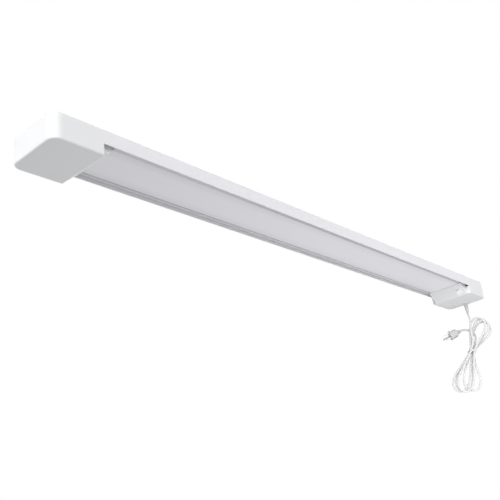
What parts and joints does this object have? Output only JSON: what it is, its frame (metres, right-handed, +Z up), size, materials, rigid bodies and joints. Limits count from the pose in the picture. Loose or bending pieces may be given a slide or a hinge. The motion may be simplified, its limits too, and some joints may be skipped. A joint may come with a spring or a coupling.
{
  "type": "hanging shop light",
  "caption": "Long white channel shop light with end caps deeper than the channel, a frosted lens, a rocker switch and a mains cord folded into a hank.",
  "frame": {"origin": "centre of the housing's top face, in the middle of the four hanging holes", "axes": "+X along the light to the end with the cord, +Y across it, +Z up"},
  "size_m": [1.2538, 0.1232, 0.2548],
  "materials": {
    "housing_paint": "satin white powder coat",
    "cap_plastic": "fine satin white",
    "lens": "frosted, translucent",
    "rail_paint": "satin white",
    "reflector": "gloss white",
    "board": "white solder mask",
    "led_phosphor": "yellow phosphor",
    "connector_plastic": "satin",
    "white_wire": "satin",
    "black_wire": "satin",
    "green_wire": "satin",
    "red_wire": "satin",
    "steel": "zinc plated",
    "driver_steel": "galvanised",
    "insulation": "paper-like",
    "circuit_green": "solder mask",
    "ferrite": "matt",
    "capacitor_sleeve": "shrink sleeve",
    "switch_plastic": "gloss white",
    "brass": "plated",
    "plug_metal": "nickel plated",
    "cord_sheath": "matt grey-white",
    "tie": "satin"
  },
  "bodies": {
    "light": {"housing": "housing_paint", "plain_end_cap": "cap_plastic", "cord_end_cap": "cap_plastic", "lens": "lens", "lens_rail_left": "rail_paint", "lens_rail_right": "rail_paint", "led_tray": "reflector", "tray_rivets": "steel", "led_board_1": "board", "led_board_2": "board", "led_board_3": "board", "led_board_4": "board", "led_chips": "led_phosphor", "board_connectors": "connector_plastic", "row_jumper": "white_wire", "board_screws": "steel", "cap_screws": "steel", "driver_case": "driver_steel", "driver_cover": "driver_steel", "insulating_sheet": "insulation", "driver_board": "circuit_green", "driver_transformer": "ferrite", "driver_capacitors": "capacitor_sleeve", "driver_screws": "steel", "terminal_block": "connector_plastic", "ground_screw": "steel", "cord_stub": "cord_sheath", "line_core": "black_wire", "neutral_core": "white_wire", "ground_core": "green_wire", "switch_wires": "black_wire", "neutral_wire": "white_wire", "led_wire_plus": "red_wire", "led_wire_minus": "black_wire", "switch_frame": "switch_plastic", "switch_terminals": "brass", "strain_relief": "cord_sheath", "cord_lead": "cord_sheath", "cord_hank": "cord_sheath", "cord_tail": "cord_sheath", "cord_tie": "tie", "plug_body": "cord_sheath", "plug_blades": "plug_metal", "plug_ground_pin": "plug_metal"},
    "rocker": {"switch_rocker": "switch_plastic"}
  },
  "joints": [
    {"name": "rocker_hinge", "type": "hinge", "parent": "light", "child": "rocker", "pos_m": [0.51927, -0.025, -0.03188], "axis": [0, 1, 0], "range_deg": [0, 20]}
  ]
}
